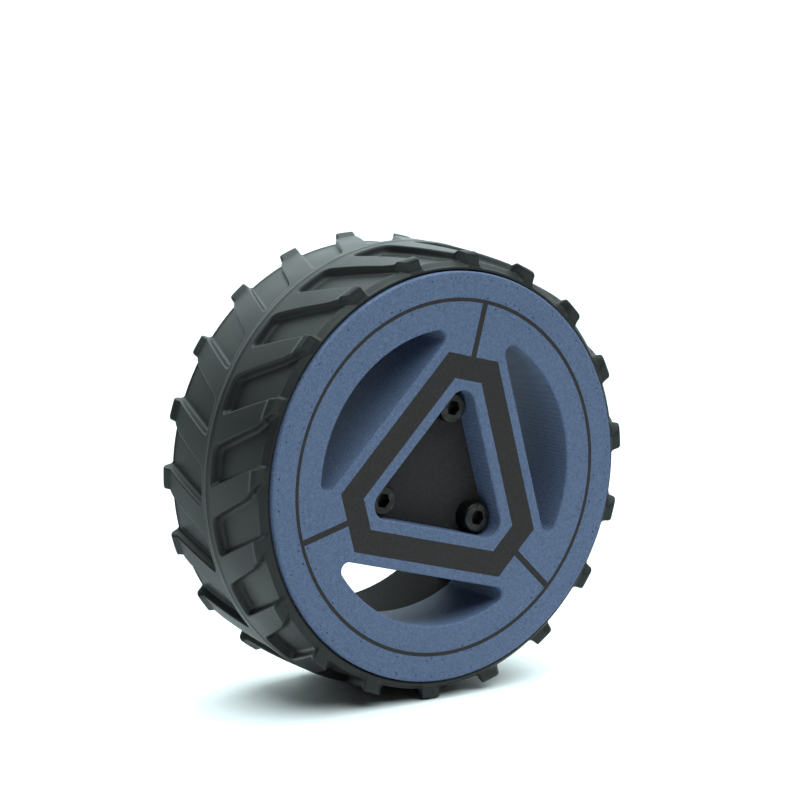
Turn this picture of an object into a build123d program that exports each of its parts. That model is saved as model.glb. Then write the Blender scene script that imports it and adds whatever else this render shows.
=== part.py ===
"""Split-rim robot wheel with a V-tread rubber tyre, clamped on a flanged drive hub by three cap screws.

The wheel turns about the Y axis. Its blue face looks towards -Y and its tread stands on the floor, +Z up.
The origin is the centre of the rim, on the axis, in the plane where the two rim halves meet.
Every sub-part is drawn on the wheel's own planes: local z runs outboard along the axle, towards the face,
and local y points at one corner of the triangular pocket. Lengths are in millimetres, angles in degrees.
"""

from build123d import *
import os
from math import cos, radians, sin

os.makedirs("parts", exist_ok=True)

# ---- driving dimensions -------------------------------------------------------------------------
ROLL = -15.4  # how far the wheel has rolled from having a pocket corner straight up

# rim
FACE_RADIUS = 37.5  # outer radius of both flanges
HALF_DEPTH = 17.5  # axial depth of each rim half
FLANGE = 2.0  # flange thickness
SEAT_RADIUS = 31.5  # outer radius of the barrel that carries the tyre
OPENING_FRONT = 27.2  # inner radius of the barrel at the face
OPENING_REAR = 28.7  # inner radius of the barrel at the rear edge
EDGE = 0.4  # rounding of the visible rim edges
CUT_PAST = 1.0  # how far a cutter runs past the surface it opens

# windows, pocket and inlay on the face; "flat" is a side's distance from the axis
WINDOW_FLAT = 18.0
WINDOW_FILLET = 1.5
POCKET_FLAT = 9.4
POCKET_FILLET = 2.75
POCKET_DEPTH = 5.6
FRAME_OUTER_FLAT = 16.05
FRAME_OUTER_TIP = 22.35
FRAME_INNER_FLAT = 11.6
FRAME_INNER_TIP = 17.95
RING_RADIUS = 32.45
RING_WIDTH = 0.7
BAR_WIDTH = 1.15
INLAY_DEPTH = 0.8

# hub stack, from the pocket floor inwards
PLATE = 3.0  # clamp plate under the screw heads
WEB = 4.0  # web of the rear rim half
HUB_FLANGE_RADIUS = 16.5
HUB_FLANGE = 4.5
BOSS_RADIUS = 7.5
BOSS_END = 0.5  # how far the boss stops short of the rim's rear edge
SPIGOT_RADIUS = 6.0
SPIGOT_LENGTH = 3.0  # spigot that centres both rim halves, past the web
HUB_CHAMFER = 0.5
SHAFT_RADIUS = 3.02  # bore for a 6 mm shaft
FIT_GAP = 0.05  # clearance between pieces that slide together
PARTS = 3  # windows, bars, pocket corners and cap screws each come in threes

# fasteners
SCREW_PCD = 25.0
SCREW_RADIUS = 1.5  # M3
SCREW_LENGTH = 20.0
SCREW_CLEARANCE = 1.7
THREAD_GAP = 0.02  # radial gap left between a screw and its tapped hole
HEAD_RADIUS = 2.75
HEAD_HEIGHT = 3.0
HEAD_ROUND = 0.35
END_CHAMFER = 0.3
HEX_KEY = 2.5  # across flats
HEX_DEPTH = 1.6
GRUB_LENGTH = 4.0
GRUB_KEY = 1.5
GRUB_KEY_DEPTH = 1.6

# tyre, measured from its own middle plane
TYRE_OFFSET = 1.3  # the tyre sits this far outboard of the rim's middle plane
CROWN_RADIUS = 41.15  # over the centre rib
SHOULDER_RADIUS = 40.4  # lug tops at the shoulders
SHOULDER_HALF = 14.2  # half width over the lug tops
FLOOR_CROWN = 39.45  # grooves between the lugs, beside the rib
FLOOR_RADIUS = 39.0  # the same at the shoulders
FLOOR_HALF = 14.7
SIDE_HALF = 15.3  # half width over the sidewalls
SIDE_DROP = 0.8  # how far the groove floor drops from the shoulder to the sidewall
LIP_GAP = 0.2  # between the rim flange and the tyre's lip around it
CAVITY_RADIUS = 36.4
CAVITY_CORNER = 1.5
WALL = 2.0  # sidewall thickness beside the cavity
RIB_HALF = 1.6  # half width of the centre rib
LUGS = 19  # lugs in each row
LUG_ROOT = (177.3, 185.6)  # where one outboard lug meets the rib, in degrees from local x
LUG_TIP = (168.2, 174.9)  # where the same lug ends at the shoulder
LUG_OVERRUN = 1.3  # how far a lug blank runs past the shoulder before it is trimmed
LUG_EDGE = 0.3  # rounding of the lug tops
ROW_LEAD = 6.8  # the inboard row of lugs is turned ahead by this many degrees
BEAD_WIDTH = 4.4
BEAD_HEIGHT = 1.5
FOAM_HALF = 9.6


# ---- planes and shared outlines ------------------------------------------------------------------
def wheel_plane(z=0.0):
    """Plane across the axle at local height z, its normal pointing outboard."""
    return Plane(origin=(0, -z, 0), x_dir=(cos(radians(ROLL)), 0, sin(radians(ROLL))), z_dir=(0, -1, 0))


def section_plane():
    """Plane through the axle: sketch x is the radius and sketch y runs outboard."""
    across = wheel_plane()
    return Plane(origin=(0, 0, 0), x_dir=across.x_dir, z_dir=across.x_dir.cross(across.z_dir))


def radial_plane(z, turn, radius):
    """Plane that faces out along the radius at local height z, turned from local x by turn degrees."""
    across = wheel_plane(z)
    outward = across.x_dir * cos(radians(turn)) + across.y_dir * sin(radians(turn))
    return Plane(origin=across.origin + outward * radius, x_dir=across.z_dir, z_dir=outward)


def truncated_triangle(flat, tip):
    """Triangle with a corner on local +y, its sides at flat from the axis and its corners cut at tip."""
    with BuildSketch(mode=Mode.PRIVATE) as outline:
        RegularPolygon(radius=2 * flat, side_count=3, rotation=90)
        RegularPolygon(radius=2 * tip, side_count=3, rotation=-90, mode=Mode.INTERSECT)
    return outline.sketch


def rounded_triangle(flat, radius):
    """Triangle with a corner on local +y and rounded corners."""
    with BuildSketch(mode=Mode.PRIVATE) as outline:
        RegularPolygon(radius=2 * flat, side_count=3, rotation=90)
        fillet(outline.vertices(), radius=radius)
    return outline.sketch


def inlay_outline():
    """Ring, three radial bars and six-sided frame of the face inlay, as one connected shape."""
    frame_outer = truncated_triangle(FRAME_OUTER_FLAT, FRAME_OUTER_TIP)
    frame_inner = truncated_triangle(FRAME_INNER_FLAT, FRAME_INNER_TIP)
    bar_middle = (FRAME_OUTER_TIP + RING_RADIUS) / 2
    bar_length = RING_RADIUS - FRAME_OUTER_TIP + RING_WIDTH / 2
    with BuildSketch(mode=Mode.PRIVATE) as outline:
        Circle(RING_RADIUS + RING_WIDTH / 2)
        Circle(RING_RADIUS - RING_WIDTH / 2, mode=Mode.SUBTRACT)
        with PolarLocations(bar_middle, PARTS, start_angle=90):
            Rectangle(bar_length, BAR_WIDTH)
        add(frame_outer)
        add(frame_inner, mode=Mode.SUBTRACT)
    return outline.sketch


def opening_radius(z):
    """Inner radius of the barrel at local height z: it widens steadily from the face to the rear."""
    slope = (OPENING_REAR - OPENING_FRONT) / (2 * HALF_DEPTH)
    return OPENING_FRONT + slope * (HALF_DEPTH - z)


def window_cutter():
    """Solid that cuts one window right through both rim halves, on the wheel's local axes."""
    reach = HALF_DEPTH + CUT_PAST
    with BuildPart() as cutter:
        with BuildSketch(Plane.XZ):
            with BuildLine():
                Polyline(
                    (0, -reach),
                    (opening_radius(-reach), -reach),
                    (opening_radius(reach), reach),
                    (0, reach),
                    close=True,
                )
            make_face()
        revolve(axis=Axis.Z)
        split(bisect_by=Plane.YZ.offset(WINDOW_FLAT), keep=Keep.TOP)
        lengthwise = cutter.edges().group_by(Axis.Z)[1]
        fillet(lengthwise, radius=WINDOW_FILLET)
    return cutter.part


FACE_Z = HALF_DEPTH
FLOOR_Z = FACE_Z - POCKET_DEPTH
LEDGE_Z = FLOOR_Z - PLATE
WEB_Z = -WEB
HUB_BACK_Z = WEB_Z - HUB_FLANGE
BOSS_Z = -HALF_DEPTH + BOSS_END
GRUB_Z = (HUB_BACK_Z + BOSS_Z) / 2
REAR_FLANGE_Z = TYRE_OFFSET - SHOULDER_HALF - FIT_GAP
window = window_cutter()
inlay = inlay_outline()
pocket = rounded_triangle(POCKET_FLAT, POCKET_FILLET)
plate_outline = rounded_triangle(POCKET_FLAT - FIT_GAP, POCKET_FILLET)


# ---- blue front half of the rim -------------------------------------------------------------------
with BuildPart(wheel_plane()) as front_rim:
    with BuildSketch(section_plane()):
        with BuildLine():
            Polyline(
                (0, 0),
                (SEAT_RADIUS, 0),
                (SEAT_RADIUS, FACE_Z - FLANGE),
                (FACE_RADIUS, FACE_Z - FLANGE),
                (FACE_RADIUS, FACE_Z),
                (0, FACE_Z),
                close=True,
            )
        make_face()
    revolve(axis=Axis.Y)
    with PolarLocations(0, PARTS, start_angle=30):
        add(window, mode=Mode.SUBTRACT)
    with BuildSketch(wheel_plane(FACE_Z)):
        add(pocket)
    extrude(amount=LEDGE_Z - FACE_Z, mode=Mode.SUBTRACT)
    face_edges = front_rim.faces().filter_by(Axis.Y).sort_by(Axis.Y)[0].edges()
    fillet(face_edges, radius=EDGE)
    with BuildSketch(wheel_plane(LEDGE_Z)):
        with PolarLocations(SCREW_PCD / 2, PARTS, start_angle=90):
            Circle(SCREW_CLEARANCE)
    extrude(amount=-LEDGE_Z, mode=Mode.SUBTRACT)
    with BuildSketch(wheel_plane()):
        Circle(SPIGOT_RADIUS + FIT_GAP)
    extrude(amount=SPIGOT_LENGTH + FIT_GAP, mode=Mode.SUBTRACT)
    with BuildSketch(wheel_plane(FACE_Z)):
        add(inlay)
    extrude(amount=-INLAY_DEPTH, mode=Mode.SUBTRACT)
front_rim.part.label = "front_rim"
export_step(front_rim.part, "parts/front_rim.step")


# ---- black inlay, flush with the face ---------------------------------------------------------------
with BuildPart(wheel_plane()) as face_inlay:
    with BuildSketch(wheel_plane(FACE_Z)):
        add(inlay)
    extrude(amount=-INLAY_DEPTH)
face_inlay.part.label = "face_inlay"
export_step(face_inlay.part, "parts/face_inlay.step")


# ---- black clamp plate: the floor of the pocket -------------------------------------------------------
with BuildPart(wheel_plane()) as clamp_plate:
    with BuildSketch(wheel_plane(LEDGE_Z)):
        add(plate_outline)
        with PolarLocations(SCREW_PCD / 2, PARTS, start_angle=90):
            Circle(SCREW_CLEARANCE, mode=Mode.SUBTRACT)
    extrude(amount=PLATE)
clamp_plate.part.label = "clamp_plate"
export_step(clamp_plate.part, "parts/clamp_plate.step")


# ---- black rear half of the rim -----------------------------------------------------------------------
with BuildPart(wheel_plane()) as rear_rim:
    with BuildSketch(section_plane()):
        with BuildLine():
            Polyline(
                (0, 0),
                (SEAT_RADIUS, 0),
                (SEAT_RADIUS, REAR_FLANGE_Z),
                (FACE_RADIUS, REAR_FLANGE_Z),
                (FACE_RADIUS, REAR_FLANGE_Z - FLANGE),
                (SEAT_RADIUS, -HALF_DEPTH),
                (opening_radius(-HALF_DEPTH), -HALF_DEPTH),
                (opening_radius(WEB_Z), WEB_Z),
                (0, WEB_Z),
                close=True,
            )
        make_face()
    revolve(axis=Axis.Y)
    with PolarLocations(0, PARTS, start_angle=30):
        add(window, mode=Mode.SUBTRACT)
    with BuildSketch(wheel_plane()):
        Circle(SPIGOT_RADIUS + FIT_GAP)
        with PolarLocations(SCREW_PCD / 2, PARTS, start_angle=90):
            Circle(SCREW_CLEARANCE)
    extrude(amount=WEB_Z, mode=Mode.SUBTRACT)
    rear_circles = rear_rim.edges().filter_by(GeomType.CIRCLE).group_by(Axis.Y)[-1]
    fillet(rear_circles, radius=EDGE)
rear_rim.part.label = "rear_rim"
export_step(rear_rim.part, "parts/rear_rim.step")


# ---- tyre -----------------------------------------------------------------------------------------------
LUG_BASE = CAVITY_RADIUS + CUT_PAST  # the lugs grow from inside the carcass
LIP_RADIUS = FACE_RADIUS + LIP_GAP
BEAD_RADIUS = SEAT_RADIUS + FIT_GAP
lug_middle = sum(LUG_ROOT) / 2


def tread_envelope():
    """Ring that bounds the rib and lug tops, from inside the carcass out to the crown."""
    middle = TYRE_OFFSET
    with BuildPart() as envelope:
        with BuildSketch(Plane.XZ):
            with BuildLine():
                ThreePointArc(
                    (SHOULDER_RADIUS, middle - SHOULDER_HALF),
                    (CROWN_RADIUS, middle),
                    (SHOULDER_RADIUS, middle + SHOULDER_HALF),
                )
                Polyline(
                    (SHOULDER_RADIUS, middle + SHOULDER_HALF),
                    (FLOOR_RADIUS - SIDE_DROP, middle + SIDE_HALF),
                    (LUG_BASE, middle + SHOULDER_HALF),
                    (LUG_BASE, middle - SHOULDER_HALF),
                    (FLOOR_RADIUS - SIDE_DROP, middle - SIDE_HALF),
                    (SHOULDER_RADIUS, middle - SHOULDER_HALF),
                )
            make_face()
        revolve(axis=Axis.Z)
    return envelope.part


def lug_blank(side):
    """One lug of the outboard (side 1) or inboard (side -1) row, cut to the envelope, on local axes."""
    tip_half = SHOULDER_HALF + LUG_OVERRUN
    slope = tip_half / SHOULDER_HALF

    def tangent(angle):
        return radians(angle - lug_middle) * CROWN_RADIUS

    def extended(root, tip):
        return root + (tip - root) * slope

    ends = [
        (tangent(LUG_ROOT[0]), 0),
        (tangent(LUG_ROOT[1]), 0),
        (tangent(extended(LUG_ROOT[1], LUG_TIP[1])), side * tip_half),
        (tangent(extended(LUG_ROOT[0], LUG_TIP[0])), side * tip_half),
    ]
    with BuildPart() as blank:
        with BuildSketch(Plane.YZ.offset(LUG_BASE)):
            with BuildLine():
                Polyline(*[(s, TYRE_OFFSET + a) for s, a in ends], close=True)
            make_face()
        extrude(amount=CROWN_RADIUS - CAVITY_RADIUS)
        add(tread_envelope(), mode=Mode.INTERSECT)
        lug_top = blank.faces().sort_by(Axis.X)[-1]
        fillet(lug_top.edges(), radius=LUG_EDGE)
    return blank.part


front_lug = lug_blank(1)
rear_lug = lug_blank(-1)

with BuildPart(wheel_plane()) as tyre:
    with BuildSketch(section_plane()):
        for side in (1, -1):
            with BuildLine():
                Polyline(
                    (FLOOR_CROWN, TYRE_OFFSET),
                    (FLOOR_RADIUS, TYRE_OFFSET + side * FLOOR_HALF),
                    (FLOOR_RADIUS - SIDE_DROP, TYRE_OFFSET + side * SIDE_HALF),
                    (LIP_RADIUS, TYRE_OFFSET + side * SIDE_HALF),
                    (LIP_RADIUS, TYRE_OFFSET + side * SHOULDER_HALF),
                    (BEAD_RADIUS, TYRE_OFFSET + side * SHOULDER_HALF),
                    (BEAD_RADIUS, TYRE_OFFSET + side * (SHOULDER_HALF - BEAD_WIDTH)),
                    (BEAD_RADIUS + BEAD_HEIGHT, TYRE_OFFSET + side * (SHOULDER_HALF - BEAD_WIDTH)),
                    (CAVITY_RADIUS - CAVITY_CORNER, TYRE_OFFSET + side * (SHOULDER_HALF - WALL)),
                    (CAVITY_RADIUS, TYRE_OFFSET + side * (SHOULDER_HALF - WALL - CAVITY_CORNER)),
                    (CAVITY_RADIUS, TYRE_OFFSET),
                    close=True,
                )
            make_face()
    revolve(axis=Axis.Y)
    with BuildSketch(wheel_plane(TYRE_OFFSET - RIB_HALF)):
        Circle(CROWN_RADIUS)
        Circle(LUG_BASE, mode=Mode.SUBTRACT)
    extrude(amount=2 * RIB_HALF)
    with PolarLocations(0, LUGS, start_angle=lug_middle):
        add(front_lug)
    with PolarLocations(0, LUGS, start_angle=lug_middle + ROW_LEAD):
        add(rear_lug)
tyre.part.label = "tyre"
export_step(tyre.part, "parts/tyre.step")


# ---- foam insert ------------------------------------------------------------------------------------------
with BuildPart(wheel_plane()) as foam_insert:
    with BuildSketch(wheel_plane(TYRE_OFFSET - FOAM_HALF)):
        Circle(CAVITY_RADIUS - FIT_GAP)
        Circle(BEAD_RADIUS, mode=Mode.SUBTRACT)
    extrude(amount=2 * FOAM_HALF)
foam_insert.part.label = "foam_insert"
export_step(foam_insert.part, "parts/foam_insert.step")


# ---- aluminium drive hub ------------------------------------------------------------------------------
with BuildPart(wheel_plane()) as drive_hub:
    with BuildSketch(section_plane()):
        with BuildLine():
            Polyline(
                (0, SPIGOT_LENGTH),
                (SPIGOT_RADIUS, SPIGOT_LENGTH),
                (SPIGOT_RADIUS, WEB_Z),
                (HUB_FLANGE_RADIUS, WEB_Z),
                (HUB_FLANGE_RADIUS, HUB_BACK_Z),
                (BOSS_RADIUS, HUB_BACK_Z),
                (BOSS_RADIUS, BOSS_Z),
                (0, BOSS_Z),
                close=True,
            )
        make_face()
    revolve(axis=Axis.Y)
    outer_rims = drive_hub.edges().filter_by(GeomType.CIRCLE).group_by(Axis.Y)
    chamfer(outer_rims[-1] + outer_rims[0], length=HUB_CHAMFER)
    with BuildSketch(wheel_plane(BOSS_Z)):
        Circle(SHAFT_RADIUS)
    extrude(amount=SPIGOT_LENGTH - BOSS_Z, mode=Mode.SUBTRACT)
    with BuildSketch(wheel_plane(HUB_BACK_Z)):
        with PolarLocations(SCREW_PCD / 2, PARTS, start_angle=90):
            Circle(SCREW_RADIUS + THREAD_GAP)
    extrude(amount=HUB_FLANGE, mode=Mode.SUBTRACT)
    for turn in (0, 90):
        with BuildSketch(radial_plane(GRUB_Z, turn, 0)):
            Circle(SCREW_RADIUS + THREAD_GAP)
        extrude(amount=BOSS_RADIUS + CUT_PAST, mode=Mode.SUBTRACT)
drive_hub.part.label = "drive_hub"
export_step(drive_hub.part, "parts/drive_hub.step")


# ---- fasteners ----------------------------------------------------------------------------------------
def cap_screw(angle):
    """M3 socket head cap screw at the given angle of the clamp circle, its head on the pocket floor."""
    across = wheel_plane(FLOOR_Z)
    x = SCREW_PCD / 2 * cos(radians(angle))
    y = SCREW_PCD / 2 * sin(radians(angle))
    seat = Plane(origin=across.from_local_coords((x, y, 0)), x_dir=across.x_dir, z_dir=across.z_dir)
    with BuildPart(seat, mode=Mode.PRIVATE) as screw:
        with BuildSketch(seat):
            Circle(HEAD_RADIUS)
        extrude(amount=HEAD_HEIGHT)
        fillet(screw.edges().group_by(Axis.Y)[0], radius=HEAD_ROUND)
        with BuildSketch(seat.offset(HEAD_HEIGHT)):
            RegularPolygon(radius=HEX_KEY / 2, side_count=6, major_radius=False)
        extrude(amount=-HEX_DEPTH, mode=Mode.SUBTRACT)
        with BuildSketch(seat):
            Circle(SCREW_RADIUS)
        extrude(amount=-SCREW_LENGTH)
        chamfer(screw.edges().group_by(Axis.Y)[-1], length=END_CHAMFER)
    return screw.part


for number, angle in enumerate((90, 210, 330), start=1):
    clamp_screw = cap_screw(angle)
    clamp_screw.label = f"clamp_screw_{number}"
    export_step(clamp_screw, f"parts/clamp_screw_{number}.step")


def grub_screw(turn):
    """M3 set screw along the boss radius at the given turn, its tip just clear of the bore."""
    tip_plane = radial_plane(GRUB_Z, turn, SHAFT_RADIUS + FIT_GAP)
    with BuildPart(tip_plane, mode=Mode.PRIVATE) as screw:
        with BuildSketch(tip_plane):
            Circle(SCREW_RADIUS)
        extrude(amount=GRUB_LENGTH)
        with BuildSketch(tip_plane.offset(GRUB_LENGTH)):
            RegularPolygon(radius=GRUB_KEY / 2, side_count=6, major_radius=False)
        extrude(amount=-GRUB_KEY_DEPTH, mode=Mode.SUBTRACT)
    return screw.part


for number, turn in enumerate((0, 90), start=1):
    set_screw = grub_screw(turn)
    set_screw.label = f"grub_screw_{number}"
    export_step(set_screw, f"parts/grub_screw_{number}.step")
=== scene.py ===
"""Looks of the split-rim robot wheel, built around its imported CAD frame.

The row frame is in metres: the axle runs along Y, the blue face looks towards -Y and +Z is up.
Shapes are drawn in the wheel's own millimetres, where z runs outboard along the axle towards the face
and y points at one corner of the triangular pocket. to_row() turns them into row metres.
"""

from math import cos, exp, hypot, pi, radians, sin, sqrt, tan

import bpy
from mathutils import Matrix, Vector


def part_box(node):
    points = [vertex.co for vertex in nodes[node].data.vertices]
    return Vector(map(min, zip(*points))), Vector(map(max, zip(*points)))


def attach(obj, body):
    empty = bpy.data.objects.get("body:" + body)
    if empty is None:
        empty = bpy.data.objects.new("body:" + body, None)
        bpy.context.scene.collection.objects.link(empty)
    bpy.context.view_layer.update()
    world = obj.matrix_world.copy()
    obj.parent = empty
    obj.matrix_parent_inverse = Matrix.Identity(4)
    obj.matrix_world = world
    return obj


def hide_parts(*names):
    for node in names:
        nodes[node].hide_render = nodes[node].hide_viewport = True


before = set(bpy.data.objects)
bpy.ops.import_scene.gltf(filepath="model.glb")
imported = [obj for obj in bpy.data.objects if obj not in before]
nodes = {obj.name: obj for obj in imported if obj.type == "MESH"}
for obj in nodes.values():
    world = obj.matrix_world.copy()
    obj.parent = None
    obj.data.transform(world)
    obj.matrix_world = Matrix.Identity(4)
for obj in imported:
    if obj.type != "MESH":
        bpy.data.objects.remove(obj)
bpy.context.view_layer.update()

MM = 0.001
ROLL = radians(-15.4)  # how far the wheel has rolled from having a pocket corner straight up
FACE_RADIUS = 37.5
HALF_DEPTH = 17.5

CAMERA_LENS = 199.9  # focal length on a 36 mm sensor, in millimetres
CAMERA_OFFSET = (-12.193, -16.954, 4.387)  # from the face's centre, in face radii
CAMERA_HEADING = (0.5648, 0.8034, -0.1884)

# tyre: lengths in millimetres, axial places measured from its own middle plane
TYRE_OFFSET = 1.3  # the middle plane lies this far outboard of the rim's
CROWN_RADIUS = 41.15
RIB_RAISE = 0.09  # the thin line along the middle stands this far above the rib beside it
SHOULDER_RADIUS = 40.4
SHOULDER_HALF = 14.2
FLOOR_CROWN = 39.45  # groove floor in the middle of the tread
FLOOR_RADIUS = 39.0  # groove floor at the shoulder
SIDE_RADIUS = 38.2
SIDE_HALF = 15.3
END_FOOT = (14.9, 38.55)  # axial place and radius where a lug's end wall meets the sidewall
END_ROUND = 0.35  # between a lug's top and its end wall
LIP_RADIUS = 37.7
BEAD_RADIUS = 31.55
BEAD_INNER = 9.8  # axial place of the bead's inner side
CAVITY_RADIUS = 36.4
RIB_HALF = 1.6
RING_PLACE = 14.1  # fine moulded ring at the outer end of the groove floor
RING_RAISE = 0.17
RING_SPREAD = 0.13
LUGS = 19
PITCH = 360 / LUGS
LUG_ROOT = (177.3, 185.6)  # the two edges of one outboard lug at the rib, in degrees from local x
LUG_TIP = (168.2, 174.9)  # the same two edges at the shoulder
ROW_LEAD = 6.8  # the inboard row is turned ahead by this many degrees
# the lugs stand unevenly around the tyre: (mean, swing, where the swing is greatest), in degrees
OUTBOARD_DRIFT = (-0.55, 2.0, 100)
INBOARD_DRIFT = (1.5, 4.4, 65)
LUG_TOP_ROUND = 0.32
LUG_FOOT_ROUND = 0.75
LUG_WALL = radians(76)  # slope of a lug's sides
LUG_BLEND = 0.5  # reach of the rounding between the walls of a groove's two sides
RIB_BLEND = 1.3  # and between them and the rib
POINT_START = 11.0  # the point of a lug starts and ends this far from the middle plane
POINT_END = 14.6
POINT_BEND = 2.9  # degrees that the trailing edge bends there

# mesh of the tread
TREAD_PLACES = (
    0.3, 1.2, 1.4, 1.55, 1.7, 1.85, 2.0, 2.2, 2.4, 2.65,
    3.0, 3.5, 4.2, 5.2, 6.4, 7.7, 9.0, 10.3, 11.5, 12.5,
)  # axial places of the rows from the middle plane to just before the shoulder
LAST_TOP = 13.1  # axial place of the next row on the lug tops
LAST_FLOOR = 13.2  # and of that same row on the groove floor
END_ARC_ROWS = 7
END_WALL_SHARES = (0.2, 0.4, 0.6, 0.8, 0.95)  # rows down a lug's end wall
EDGE_GAPS = (
    1.9, 1.45, 1.15, 0.95, 0.78, 0.64, 0.52, 0.42, 0.32, 0.2, 0.08,
    -0.04, -0.14, -0.24, -0.36, -0.7,
)  # columns beside each edge of a lug, this far outside it

BEAD_PITCH = 0.42 * MM  # between the printed rows
SPECK_RINGS = (31.55, 33.35, 36.4)  # radii of the rows of pits in the blue face
SPECK_BAND = 0.4  # pits lie within this of their ring
SPECK_SCALE = 1150.0  # cells that may hold a pit, per metre
SPECK_SIZE = 0.26  # radius of a pit as a share of its cell
SPECK_DARKNESS = 0.65
SPECK_COLOUR = (0.012, 0.014, 0.02, 1)

# darkest and lightest colour of each printed plastic
BLUE = ((0.070, 0.093, 0.156, 1), (0.108, 0.142, 0.236, 1))
BLACK = ((0.027, 0.0235, 0.0235, 1), (0.036, 0.0315, 0.0315, 1))
REAR_BLACK = ((0.011, 0.0095, 0.0092, 1), (0.017, 0.015, 0.0145, 1))


def to_row(x, y, z):
    """Point of the wheel's own frame, in millimetres, as a point of the row frame in metres."""
    return Vector(
        (
            (x * cos(ROLL) - y * sin(ROLL)) * MM,
            -z * MM,
            (x * sin(ROLL) + y * cos(ROLL)) * MM,
        )
    )


def polar_to_row(angle, radius, z):
    return to_row(radius * cos(radians(angle)), radius * sin(radians(angle)), z)


def new_piece(name, points, faces):
    mesh = bpy.data.meshes.new(name)
    mesh.from_pydata(points, [], faces)
    mesh.validate()
    mesh.polygons.foreach_set("use_smooth", [True] * len(mesh.polygons))
    mesh.update()
    piece = bpy.data.objects.new(name, mesh)
    bpy.context.scene.collection.objects.link(piece)
    return piece


# ---- camera ------------------------------------------------------------------------------------------
def add_camera():
    """The view of the face from its left, a little above the axle."""
    data = bpy.data.cameras.new("camera")
    data.lens = CAMERA_LENS
    data.sensor_width = 36.0
    data.clip_start = 0.05
    camera = bpy.data.objects.new("camera", data)
    bpy.context.scene.collection.objects.link(camera)
    face_centre = Vector((0, -HALF_DEPTH, 0))
    offset = Vector(CAMERA_OFFSET) * FACE_RADIUS
    camera.location = (face_centre + offset) * MM
    camera.rotation_euler = Vector(CAMERA_HEADING).to_track_quat("-Z", "Y").to_euler()
    bpy.context.scene.camera = camera


# ---- tyre ----------------------------------------------------------------------------------------------
def blend(start, end, share):
    return start + (end - start) * share


def ease(value):
    """Smooth step from 0 to 1."""
    value = min(max(value, 0.0), 1.0)
    return value * value * (3 - 2 * value)


def crown(a):
    """Radius over the lug tops at distance a from the tyre's middle plane."""
    middle = CROWN_RADIUS - RIB_RAISE
    return middle - (middle - SHOULDER_RADIUS) * (a / SHOULDER_HALF) ** 2


def groove_floor(a):
    """Radius of the groove floor, with the fine ring around its outer end and the fall to the sidewall."""
    ring = RING_RAISE * exp(-(((a - RING_PLACE) / RING_SPREAD) ** 2))
    drop = (FLOOR_RADIUS - SIDE_RADIUS) * ease((a - RING_PLACE) / (SIDE_HALF - RING_PLACE))
    return FLOOR_CROWN - (FLOOR_CROWN - FLOOR_RADIUS) * (a / SHOULDER_HALF) ** 2 + ring - drop


def edge_angle(edge, a):
    """Angle of a lug's leading (0) or trailing (1) edge at distance a from the middle plane.

    The trailing edge bends towards the leading one near the shoulder, so that the lug ends in a point.
    """
    straight = blend(LUG_ROOT[edge], LUG_TIP[edge], a / SHOULDER_HALF)
    bent = max(min(a, POINT_END) - POINT_START, 0) / (POINT_END - POINT_START)
    return straight - edge * POINT_BEND * bent * bent


def across_edge(edge):
    """Millimetres square across a lug's edge for one degree around the tread."""
    arc = radians(1) * CROWN_RADIUS
    slant = arc * (LUG_TIP[edge] - LUG_ROOT[edge]) / SHOULDER_HALF
    return arc / hypot(1, slant)


def wall_height(inside, height):
    """Height of the tread this far inside the groove's outline: rounded top, wall and rounded foot."""
    half_turn = tan(LUG_WALL / 2)
    top_centre = -LUG_TOP_ROUND * half_turn
    foot = height / tan(LUG_WALL) + LUG_FOOT_ROUND * half_turn
    top_end = top_centre + LUG_TOP_ROUND * sin(LUG_WALL)
    foot_start = foot - LUG_FOOT_ROUND * sin(LUG_WALL)
    if inside <= top_centre:
        return height
    if inside >= foot:
        return 0.0
    if inside < top_end:
        return height - LUG_TOP_ROUND + sqrt(LUG_TOP_ROUND**2 - (inside - top_centre) ** 2)
    if inside > foot_start:
        return LUG_FOOT_ROUND - sqrt(LUG_FOOT_ROUND**2 - (foot - inside) ** 2)
    top_height = height - LUG_TOP_ROUND * (1 - cos(LUG_WALL))
    foot_height = LUG_FOOT_ROUND * (1 - cos(LUG_WALL))
    return blend(top_height, foot_height, (inside - top_end) / (foot_start - top_end))


def smooth_least(first, second, reach):
    """The lesser of two distances, rounded where they differ by less than reach."""
    gap = max(reach - abs(first - second), 0) / reach
    return min(first, second) - gap * gap * reach / 4


def lug_share(angle, a, height):
    """1 on a lug or the rib, 0 on the groove floor, in between on the walls."""
    turn = (angle - edge_angle(1, a)) % PITCH
    width = edge_angle(0, a) + PITCH - edge_angle(1, a)
    if turn > (width + PITCH) / 2:
        turn -= PITCH
    from_trailing = turn * across_edge(1)
    from_leading = (width - turn) * across_edge(0)
    inside = smooth_least(from_trailing, from_leading, LUG_BLEND)
    inside = smooth_least(inside, a - RIB_HALF, RIB_BLEND)
    return wall_height(inside, height) / height


def column_angles(a):
    """Angles of the mesh columns of one lug and the groove after it, bunched at the lug's two sides."""
    leading = [edge_angle(0, a) - gap / across_edge(0) for gap in EDGE_GAPS]
    trailing = [edge_angle(1, a) + gap / across_edge(1) for gap in reversed(EDGE_GAPS)]
    lug = [blend(leading[-1], trailing[0], share) for share in (0.25, 0.5, 0.75)]
    groove = [blend(trailing[-1], leading[0] + PITCH, share) for share in (0.2, 0.4, 0.6, 0.8)]
    return leading + lug + trailing + groove


def corner_arc(start, corner, end, radius, steps):
    """Points of the arc that rounds a corner of a section."""
    start, corner, end = Vector(start), Vector(corner), Vector(end)
    back = (start - corner).normalized()
    on = (end - corner).normalized()
    half = back.angle(on) / 2
    centre = corner + (back + on).normalized() * radius / sin(half)
    first = corner + back * radius / tan(half) - centre
    last = corner + on * radius / tan(half) - centre
    return [tuple(centre + first.slerp(last, i / (steps - 1))) for i in range(steps)]


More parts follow.
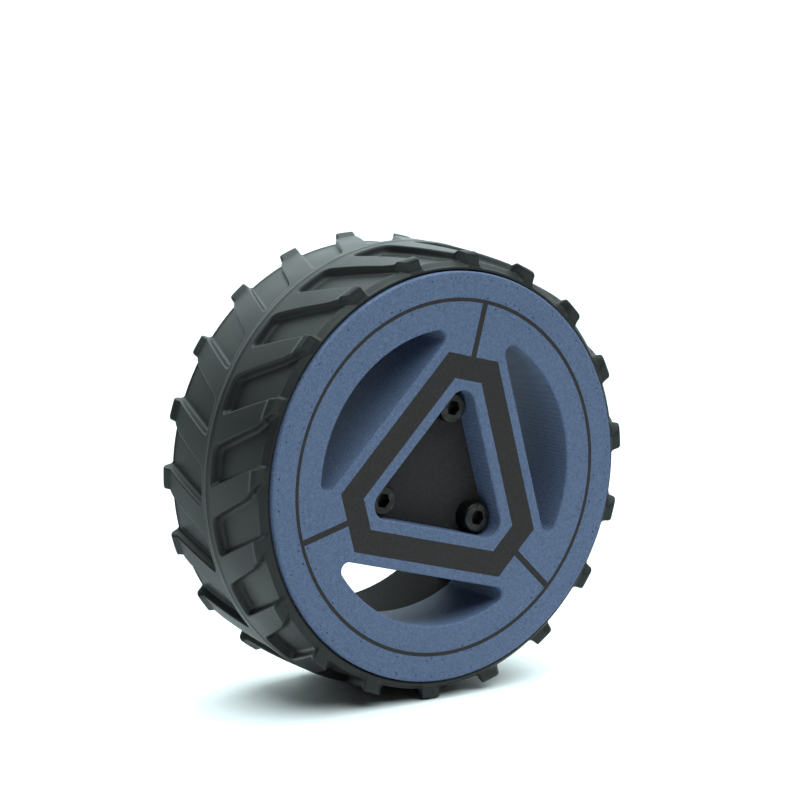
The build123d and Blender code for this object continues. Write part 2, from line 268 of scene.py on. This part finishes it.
def tread_rows():
    """Rows from the middle plane out to the sidewall: place and radius on the lug, then on the floor."""
    rows = [(a, crown(a), a, groove_floor(a)) for a in TREAD_PLACES]
    last = (LAST_TOP, crown(LAST_TOP))
    corner = (SHOULDER_HALF, SHOULDER_RADIUS)
    top = [last] + corner_arc(last, corner, END_FOOT, END_ROUND, END_ARC_ROWS)
    wall_a, wall_radius = top[-1]
    top += [(blend(wall_a, END_FOOT[0], s), blend(wall_radius, END_FOOT[1], s)) for s in END_WALL_SHARES]
    last_floor = END_FOOT[0] + 0.05  # the floor's rows end just outboard of the wall's foot
    floors = [blend(LAST_FLOOR, last_floor, i / (len(top) - 1)) for i in range(len(top))]
    rows += [(top_a, top_r, a, groove_floor(a)) for (top_a, top_r), a in zip(top, floors)]
    return rows


def inner_section():
    """Axial places and radii of the sidewall's lip, the bead and the cavity, in to the middle plane."""
    return [
        (SIDE_HALF, SIDE_RADIUS),
        (SIDE_HALF + 0.02, 38.05),
        (SIDE_HALF, LIP_RADIUS + 0.12),
        (SIDE_HALF - 0.08, LIP_RADIUS + 0.03),
        (SIDE_HALF - 0.2, LIP_RADIUS),
        (SHOULDER_HALF, LIP_RADIUS),
        (SHOULDER_HALF, BEAD_RADIUS),
        (BEAD_INNER, BEAD_RADIUS),
        (BEAD_INNER, BEAD_RADIUS + 1.5),
        (12.2, 34.9),
        (10.7, CAVITY_RADIUS),
        (1.2, CAVITY_RADIUS),
    ]


def tyre_section_rows(side):
    """Rows of (angles of one lug, axial places, radii) of half the tyre, from the rib to the cavity."""
    shift = 0 if side > 0 else ROW_LEAD
    rows = []
    for top_a, top_r, floor_a, floor_r in tread_rows():
        angles = column_angles(floor_a)
        shares = [lug_share(angle, floor_a, top_r - floor_r) for angle in angles]
        places = [side * blend(floor_a, top_a, share) for share in shares]
        radii = [blend(floor_r, top_r, share) for share in shares]
        rows.append(([angle + shift for angle in angles], places, radii))
    for a, radius in inner_section():
        angles = column_angles(min(a, SIDE_HALF))
        rows.append(([angle + shift for angle in angles], [side * a] * len(angles), [radius] * len(angles)))
    return rows


def drift(turn, a):
    """Degrees that the tread is turned here from even spacing, changing sides over the rib."""
    outboard, inboard = (
        mean + swing * cos(radians(turn - peak))
        for mean, swing, peak in (OUTBOARD_DRIFT, INBOARD_DRIFT)
    )
    return blend(inboard, outboard, min(max(a / RIB_HALF + 1, 0), 2) / 2)


def add_tyre():
    """The soft tyre as one closed mesh: rows run around the wheel, from the rib out and back."""
    near = tyre_section_rows(1)
    far = tyre_section_rows(-1)
    columns = len(near[0][0])
    crown_row = (
        [blend(outboard, inboard, 0.5) for outboard, inboard in zip(near[0][0], far[0][0])],
        [0.0] * columns,
        [CROWN_RADIUS] * columns,
    )
    rows = [crown_row] + near + list(reversed(far))
    points = []
    for angles, places, radii in rows:
        for lug in range(LUGS):
            for angle, a, radius in zip(angles, places, radii):
                turn = angle + lug * PITCH
                points.append(polar_to_row(turn + drift(turn, a), radius, TYRE_OFFSET + a))
    around = columns * LUGS
    faces = []
    for row in range(len(rows)):
        here, there = row * around, (row + 1) % len(rows) * around
        for column in range(around):
            after = (column + 1) % around
            faces.append((here + column, here + after, there + after, there + column))
    piece = new_piece("tyre_shell", points, faces)
    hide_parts("tyre")
    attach(piece, "root")
    return piece


# ---- materials -----------------------------------------------------------------------------------------
def material(name):
    made = bpy.data.materials.new(name)
    made.use_nodes = True
    tree = made.node_tree
    shader = tree.nodes["Principled BSDF"]
    return made, tree, shader


def node(tree, kind, inputs=(), **settings):
    """Adds a node, sets its properties, and fills or links its inputs by name or number."""
    made = tree.nodes.new(kind)
    for key, value in settings.items():
        setattr(made, key, value)
    for key, value in dict(inputs).items():
        if isinstance(value, bpy.types.NodeSocket):
            tree.links.new(value, made.inputs[key])
        else:
            made.inputs[key].default_value = value
    return made


def object_place(tree):
    return node(tree, "ShaderNodeTexCoord").outputs["Object"]


def noise(tree, place, scale, detail=3.0, roughness=0.5):
    inputs = {"Vector": place, "Scale": scale, "Detail": detail, "Roughness": roughness}
    return node(tree, "ShaderNodeTexNoise", inputs).outputs["Fac"]


def ramp(tree, value, low, high, start, end):
    """Maps value from low..high to start..end, clamped."""
    inputs = {"Value": value, "From Min": low, "From Max": high, "To Min": start, "To Max": end}
    return node(tree, "ShaderNodeMapRange", inputs).outputs["Result"]


def mix_colour(tree, share, first, second):
    made = node(tree, "ShaderNodeMix", data_type="RGBA")
    for socket, value in ((made.inputs[0], share), (made.inputs[6], first), (made.inputs[7], second)):
        if isinstance(value, bpy.types.NodeSocket):
            tree.links.new(value, socket)
        else:
            socket.default_value = value
    return made.outputs[2]


def bump(tree, height, distance, strength):
    inputs = {"Height": height, "Distance": distance, "Strength": strength}
    return node(tree, "ShaderNodeBump", inputs).outputs["Normal"]


def calculate(tree, operation, *values):
    return node(tree, "ShaderNodeMath", dict(enumerate(values)), operation=operation).outputs[0]


def wave_scale(pitch):
    """Scale at which a wave texture, whose bands follow sin(20 * scale * place), has this pitch in metres."""
    return 2 * pi / (20 * pitch)


def rubber():
    """Semi-matte black rubber, cloudy in gloss, with a fine grain."""
    made, tree, shader = material("tyre_rubber")
    place = object_place(tree)
    cloud = noise(tree, place, 90.0, 4.0)
    grain = noise(tree, place, 2600.0, 2.0, 0.6)
    colour = mix_colour(tree, cloud, (0.0125, 0.0125, 0.0120, 1), (0.0175, 0.0175, 0.017, 1))
    tree.links.new(colour, shader.inputs["Base Color"])
    tree.links.new(ramp(tree, cloud, 0.3, 0.7, 0.38, 0.5), shader.inputs["Roughness"])
    tree.links.new(bump(tree, grain, 0.00004, 0.3), shader.inputs["Normal"])
    shader.inputs["Specular IOR Level"].default_value = 0.22
    return made


def printed(name, dark, light, ridge, gloss, roughness, specks=0.0):
    """Printed plastic: slanting rows of bead, mottled, with dark pits on a share of the places for them."""
    made, tree, shader = material(name)
    place = object_place(tree)
    slant = {"Vector": place, "Rotation": (0, radians(45), 0)}
    wave = node(
        tree,
        "ShaderNodeTexWave",
        {
            "Vector": node(tree, "ShaderNodeMapping", slant).outputs["Vector"],
            "Scale": wave_scale(BEAD_PITCH),
            "Distortion": 1.5,
            "Detail": 2.0,
            "Detail Scale": 3.0,
        },
        wave_type="BANDS",
        bands_direction="X",
    ).outputs["Fac"]
    mottle = noise(tree, place, 2300.0, 1.5, 0.6)
    cloud = noise(tree, place, 60.0, 3.0)
    tone = calculate(tree, "MULTIPLY", mottle, 1.6)
    for pattern, weight in ((wave, 0.25), (cloud, 0.2)):
        tone = calculate(tree, "ADD", tone, calculate(tree, "MULTIPLY", pattern, weight))
    colour = mix_colour(tree, ramp(tree, tone, 0.7, 1.35, 0.0, 1.0), dark, light)
    if specks:
        colour = mix_colour(tree, speck_share(tree, place, specks), colour, SPECK_COLOUR)
    tree.links.new(colour, shader.inputs["Base Color"])
    uneven = ramp(tree, mottle, 0.3, 0.7, roughness - 0.09, roughness + 0.09)
    tree.links.new(uneven, shader.inputs["Roughness"])
    grain = bump(tree, mottle, 0.00006, 0.6)
    ridges = {"Height": wave, "Distance": ridge, "Strength": 0.7, "Normal": grain}
    tree.links.new(node(tree, "ShaderNodeBump", ridges).outputs["Normal"], shader.inputs["Normal"])
    shader.inputs["Specular IOR Level"].default_value = gloss
    return made


def speck_share(tree, place, share):
    """Above 0 on the small pits where the printed rows turn back, in rings beside the inlay and the rim."""
    apart = node(tree, "ShaderNodeSeparateXYZ", {"Vector": place}).outputs
    flat = node(tree, "ShaderNodeCombineXYZ", {"X": apart["X"], "Y": apart["Z"]}).outputs["Vector"]
    length = node(tree, "ShaderNodeVectorMath", {0: flat}, operation="LENGTH")
    radius = length.outputs["Value"]
    near = None
    for ring in SPECK_RINGS:
        gap = calculate(tree, "ABSOLUTE", calculate(tree, "SUBTRACT", radius, ring * MM))
        inside = calculate(tree, "LESS_THAN", gap, SPECK_BAND * MM)
        near = inside if near is None else calculate(tree, "MAXIMUM", near, inside)
    cells = node(tree, "ShaderNodeTexVoronoi", {"Vector": place, "Scale": SPECK_SCALE, "Randomness": 0.8})
    dot = calculate(tree, "LESS_THAN", cells.outputs["Distance"], SPECK_SIZE)
    drawn = node(tree, "ShaderNodeSeparateColor", {"Color": cells.outputs["Color"]}).outputs[0]
    pit = calculate(tree, "MULTIPLY", dot, calculate(tree, "LESS_THAN", drawn, share))
    return calculate(tree, "MULTIPLY", pit, calculate(tree, "MULTIPLY", near, SPECK_DARKNESS))


def machined():
    """Turned aluminium with fine rings."""
    made, tree, shader = material("hub_metal")
    place = object_place(tree)
    rings = node(
        tree,
        "ShaderNodeTexWave",
        {"Vector": place, "Scale": 900.0, "Distortion": 0.6},
        wave_type="RINGS",
        rings_direction="Y",
    ).outputs["Fac"]
    cloud = noise(tree, place, 120.0)
    shader.inputs["Metallic"].default_value = 1.0
    colour = mix_colour(tree, cloud, (0.44, 0.43, 0.43, 1), (0.54, 0.53, 0.53, 1))
    tree.links.new(colour, shader.inputs["Base Color"])
    tree.links.new(ramp(tree, rings, 0.0, 1.0, 0.30, 0.42), shader.inputs["Roughness"])
    tree.links.new(bump(tree, rings, 0.00001, 0.5), shader.inputs["Normal"])
    return made


def black_oxide():
    """Black oxide steel: dark, half glossy, worn a little lighter in patches."""
    made, tree, shader = material("black_steel")
    place = object_place(tree)
    wear = noise(tree, place, 700.0, 4.0, 0.6)
    shader.inputs["Metallic"].default_value = 0.85
    worn = ramp(tree, wear, 0.45, 0.75, 0.0, 1.0)
    colour = mix_colour(tree, worn, (0.020, 0.019, 0.018, 1), (0.050, 0.048, 0.043, 1))
    tree.links.new(colour, shader.inputs["Base Color"])
    tree.links.new(ramp(tree, wear, 0.3, 0.8, 0.28, 0.46), shader.inputs["Roughness"])
    tree.links.new(bump(tree, wear, 0.00002, 0.3), shader.inputs["Normal"])
    return made


def foam():
    """Open-celled dark grey foam."""
    made, tree, shader = material("insert_foam")
    place = object_place(tree)
    cells = node(tree, "ShaderNodeTexVoronoi", {"Vector": place, "Scale": 1800.0}).outputs["Distance"]
    colour = mix_colour(tree, cells, (0.02, 0.02, 0.022, 1), (0.05, 0.05, 0.052, 1))
    tree.links.new(colour, shader.inputs["Base Color"])
    tree.links.new(bump(tree, cells, 0.0003, 1.0), shader.inputs["Normal"])
    shader.inputs["Roughness"].default_value = 0.9
    return made


def dress(name, made):
    """Gives a CAD node its material."""
    target = nodes[name]
    target.data.materials.clear()
    target.data.materials.append(made)


# ---- studio ----------------------------------------------------------------------------------------------
LIGHT_TINT = (0.83, 0.985, 1.0)  # slightly cyan, as in the photo
SKY_BRIGHT = (0.40, 0.75, 0.53)  # unit vector towards the brightest part of the sky
SKY_RAMP = (0.45, 0.95)  # share of that direction where the sky starts and stops brightening
SKY_DIM = 0.03  # strength away from the bright part
SKY_FULL = 2.6
SUN_POWER = 6.0
SUN_ANGLE = radians(85)
SUN_HEADING = (-0.15, 0.15, -1.0)
PAPER_HALF = 3.0
PAINTED_LIGHT_POOL_REACH = (0.045, 0.09)  # distances from the wheel's middle over which the painted pool of light, brighter paper that burns out the edge of the shadow, gives way to the dimmer paper beyond
# paper within the painted pool of light around the wheel
PAINTED_LIGHT_POOL_WHITE = (0.94, 0.94, 0.94, 1)
# dimmer paper beyond the pool, which still renders white but sends less light back onto the wheel
FAR_WHITES = ((0.54, 0.54, 0.54, 1), (0.565, 0.565, 0.565, 1))


def add_floor():
    """White paper that the tyre stands on, painted brighter near the wheel: a painted pool of light that
    burns out the edge of the shadow under it.
    """
    half = PAPER_HALF
    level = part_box("tyre")[0][2]
    corners = [(-half, -half, level), (half, -half, level), (half, half, level), (-half, half, level)]
    floor = new_piece("floor", corners, [(0, 1, 2, 3)])
    made, tree, shader = material("floor_white")
    place = object_place(tree)
    apart = node(tree, "ShaderNodeVectorMath", {0: place}, operation="LENGTH").outputs["Value"]
    cloud = noise(tree, place, 3.0)
    far = mix_colour(tree, cloud, *FAR_WHITES)
    # painted pool of light: the paper turns brighter towards the wheel
    share = ramp(tree, apart, *PAINTED_LIGHT_POOL_REACH, 0.0, 1.0)
    tree.links.new(mix_colour(tree, share, PAINTED_LIGHT_POOL_WHITE, far), shader.inputs["Base Color"])
    shader.inputs["Roughness"].default_value = 0.9
    shader.inputs["Specular IOR Level"].default_value = 0.1
    floor.data.materials.append(made)


def add_sky():
    """Dim room on the camera's side, bright white behind and above the wheel."""
    world = bpy.data.worlds.new("studio")
    world.use_nodes = True
    tree = world.node_tree
    background = tree.nodes["Background"]
    place = node(tree, "ShaderNodeTexCoord").outputs["Generated"]
    towards = node(tree, "ShaderNodeVectorMath", {0: place, 1: SKY_BRIGHT}, operation="DOT_PRODUCT")
    strength = ramp(tree, towards.outputs["Value"], *SKY_RAMP, SKY_DIM, SKY_FULL)
    tree.links.new(strength, background.inputs["Strength"])
    background.inputs["Color"].default_value = (*LIGHT_TINT, 1)
    bpy.context.scene.world = world


def add_sun():
    """Wide overhead light, which gives the soft shadow under the tread."""
    data = bpy.data.lights.new("overhead", "SUN")
    data.energy = SUN_POWER
    data.angle = SUN_ANGLE
    data.color = LIGHT_TINT
    light = bpy.data.objects.new("overhead", data)
    bpy.context.scene.collection.objects.link(light)
    light.rotation_euler = Vector(SUN_HEADING).to_track_quat("-Z", "Y").to_euler()


add_camera()
tyre = add_tyre()
blue = printed("blue_plastic", *BLUE, ridge=0.00004, gloss=0.12, roughness=0.59, specks=0.6)
black = printed("black_plastic", *BLACK, ridge=0.00003, gloss=0.06, roughness=0.59)
rear_black = printed("black_plastic_rear", *REAR_BLACK, ridge=0.00006, gloss=0.05, roughness=0.86)
steel = black_oxide()
tyre.data.materials.append(rubber())
dress("front_rim", blue)
for name in ("face_inlay", "clamp_plate"):
    dress(name, black)
dress("rear_rim", rear_black)
for name in ("clamp_screw_1", "clamp_screw_2", "clamp_screw_3", "grub_screw_1", "grub_screw_2"):
    dress(name, steel)
dress("drive_hub", machined())
dress("foam_insert", foam())
add_floor()
add_sky()
add_sun()
bpy.context.scene.view_settings.view_transform = "Standard"
